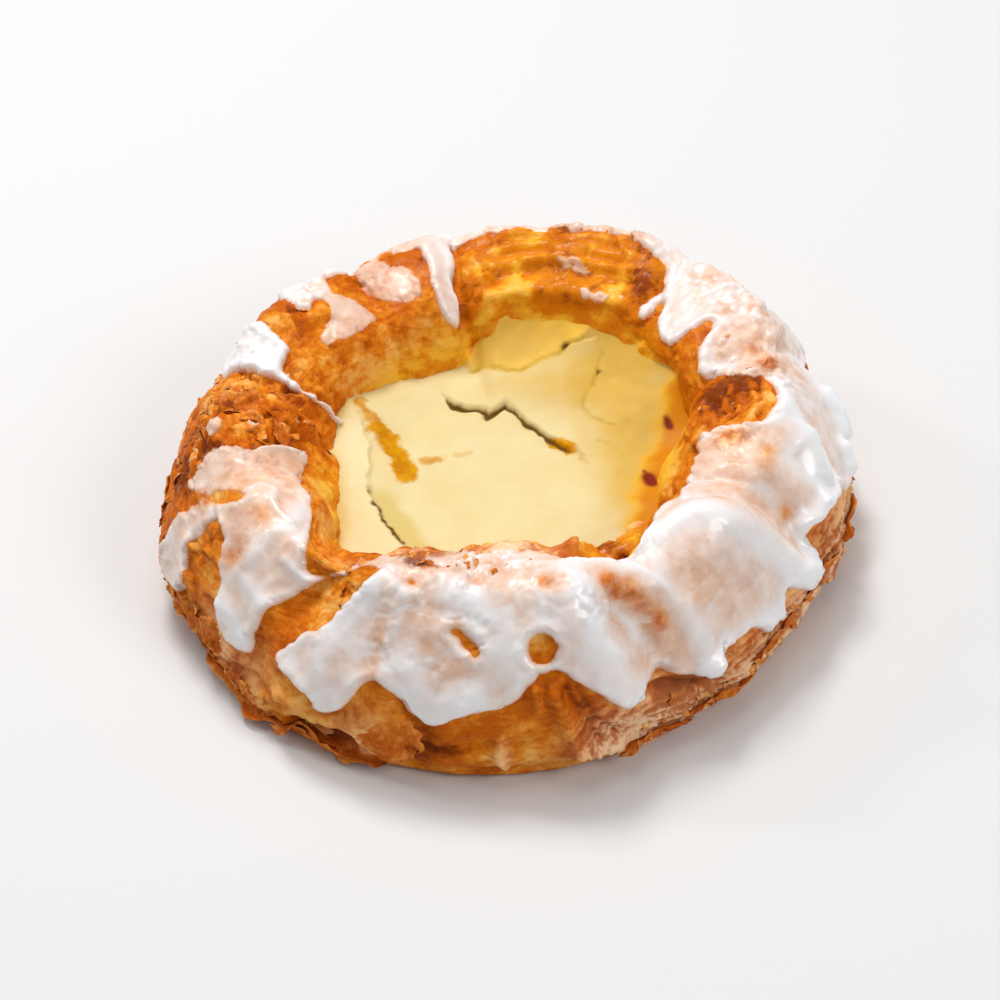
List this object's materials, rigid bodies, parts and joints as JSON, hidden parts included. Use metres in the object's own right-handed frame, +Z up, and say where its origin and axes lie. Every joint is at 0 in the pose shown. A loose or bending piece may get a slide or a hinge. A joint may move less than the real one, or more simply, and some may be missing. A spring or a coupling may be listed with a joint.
{
  "type": "danish pastry",
  "caption": "Round custard danish: folded, puffed laminated dough raised in a ring round a well of set custard, iced over.",
  "frame": {"origin": "under the middle of the pastry's box, on the flat base that it rests on", "axes": "+Z up, out of the well; +X to the right and -Y to the front of the pastry as it is shown"},
  "size_m": [0.1156, 0.113, 0.0315],
  "materials": {
    "baked_dough": "egg-washed baked crust, golden to deep brown, satin to glossy",
    "custard": "set custard, pale yellow with baked amber edges, satin",
    "icing": "poured sugar icing, white and thin, wet gloss"
  },
  "bodies": {
    "root": {"dough": "baked_dough", "custard": "custard"}
  },
  "joints": []
}
